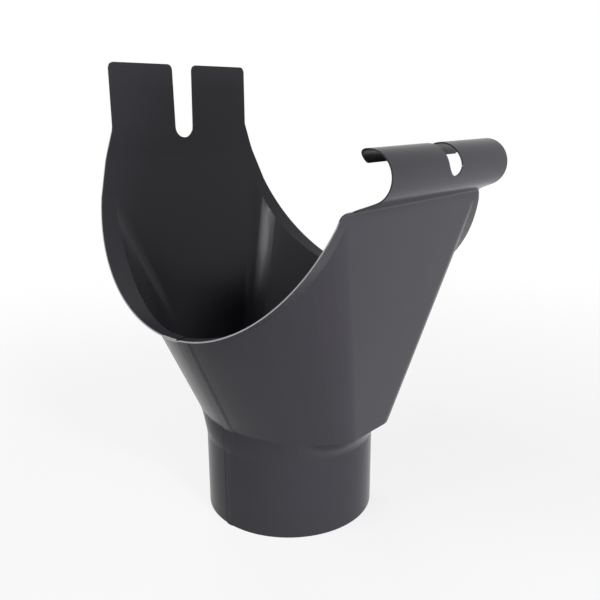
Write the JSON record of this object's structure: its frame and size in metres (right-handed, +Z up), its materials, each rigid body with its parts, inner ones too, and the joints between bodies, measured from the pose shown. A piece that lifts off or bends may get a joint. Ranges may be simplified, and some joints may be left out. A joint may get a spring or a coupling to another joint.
{
  "type": "gutter running outlet",
  "caption": "Pressed sheet outlet that hangs under a half-round gutter by a bead hook and bendable back tabs, with a funnel and a round downpipe spigot.",
  "frame": {"origin": "centre of the lower end of the spigot", "axes": "+X towards the front of the gutter, where the bead and the hook are, +Y along the gutter, +Z up"},
  "size_m": [0.1661, 0.1524, 0.2239],
  "materials": {
    "coated_sheet": "satin anthracite coating on galvanised steel sheet"
  },
  "bodies": {
    "root": {"front_shell": "coated_sheet", "back_shell": "coated_sheet"}
  },
  "joints": []
}
